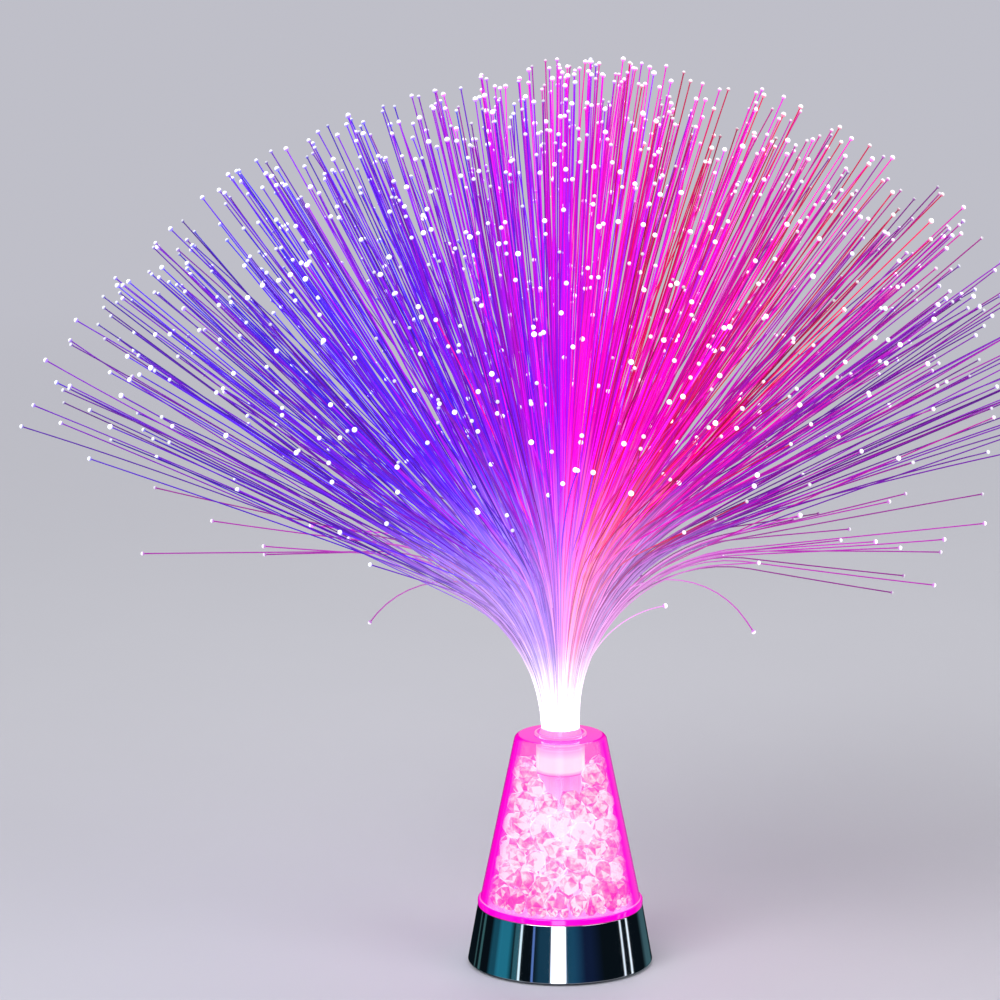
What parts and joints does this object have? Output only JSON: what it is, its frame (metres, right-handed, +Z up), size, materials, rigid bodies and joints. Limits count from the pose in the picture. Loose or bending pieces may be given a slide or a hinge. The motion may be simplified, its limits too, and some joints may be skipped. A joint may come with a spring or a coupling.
{
  "type": "fiber optic lamp",
  "caption": "Battery table lamp with a chromed base, a clear cone filled with cut stones, and a lift-out spray of fine light-carrying strands.",
  "frame": {"origin": "on the surface that the rubber feet stand on, under the lamp's upright axis", "axes": "+Z up along the lamp's axis; +X towards the side that holds the slide switch; the battery door's tabs are at -Y"},
  "size_m": [0.4102, 0.4102, 0.3453],
  "materials": {
    "chrome": "polished, dark reflections",
    "clear_pink": "clear, lit magenta from inside",
    "clear_plastic": "clear, polished",
    "crystal": "clear, cut facets",
    "strand": "clear, lit violet to magenta",
    "black_plastic": "fine moulded texture",
    "cell_jacket": "plain printed jacket, no marks",
    "steel": "plated",
    "board": "solder mask",
    "led_red": "clear lens",
    "led_green": "clear lens",
    "led_blue": "clear lens",
    "wire_red": "insulation",
    "wire_white": "insulation",
    "wire_black": "insulation",
    "rubber": "matt"
  },
  "bodies": {
    "base": {"chrome_base": "chrome", "shade": "clear_pink", "shade_floor": "clear_plastic", "light_tube": "clear_plastic", "crystal_layer_1": "crystal", "crystal_layer_2": "crystal", "crystal_layer_3": "crystal", "crystal_layer_4": "crystal", "crystal_layer_5": "crystal", "crystal_layer_6": "crystal", "bottom_cover": "black_plastic", "battery_cell_1": "cell_jacket", "battery_cell_2": "cell_jacket", "battery_cell_3": "cell_jacket", "battery_spring_1": "steel", "battery_spring_2": "steel", "battery_spring_3": "steel", "contact_positive": "steel", "contact_negative": "steel", "contact_bridge_1": "steel", "contact_bridge_2": "steel", "circuit_board": "board", "led_red": "led_red", "led_green": "led_green", "led_blue": "led_blue", "resistor_1": "black_plastic", "resistor_2": "black_plastic", "resistor_3": "black_plastic", "driver_chip": "black_plastic", "switch_body": "steel", "wire_positive": "wire_red", "wire_switch": "wire_white", "wire_negative": "wire_black", "cover_screw_1": "steel", "cover_screw_2": "steel", "cover_screw_3": "steel", "cover_screw_4": "steel", "board_screw_1": "steel", "board_screw_2": "steel", "rubber_foot_1": "rubber", "rubber_foot_2": "rubber", "rubber_foot_3": "rubber", "rubber_foot_4": "rubber"},
    "spray": {"fiber_spray": "strand", "ferrule": "clear_plastic"},
    "door": {"battery_door": "black_plastic"},
    "slider": {"switch_slider": "black_plastic"}
  },
  "joints": [
    {"name": "spray_lift", "type": "slide", "parent": "base", "child": "spray", "axis": [0, 0, 1], "range_m": [0, 0.03]},
    {"name": "door_tilt", "type": "hinge", "parent": "base", "child": "door", "pos_m": [0, -0.0262, 0.0018], "axis": [-1, 0, 0], "range_deg": [0, 35]},
    {"name": "switch_slide", "type": "slide", "parent": "base", "child": "slider", "axis": [0, 1, 0], "range_m": [0, 0.002]}
  ]
}
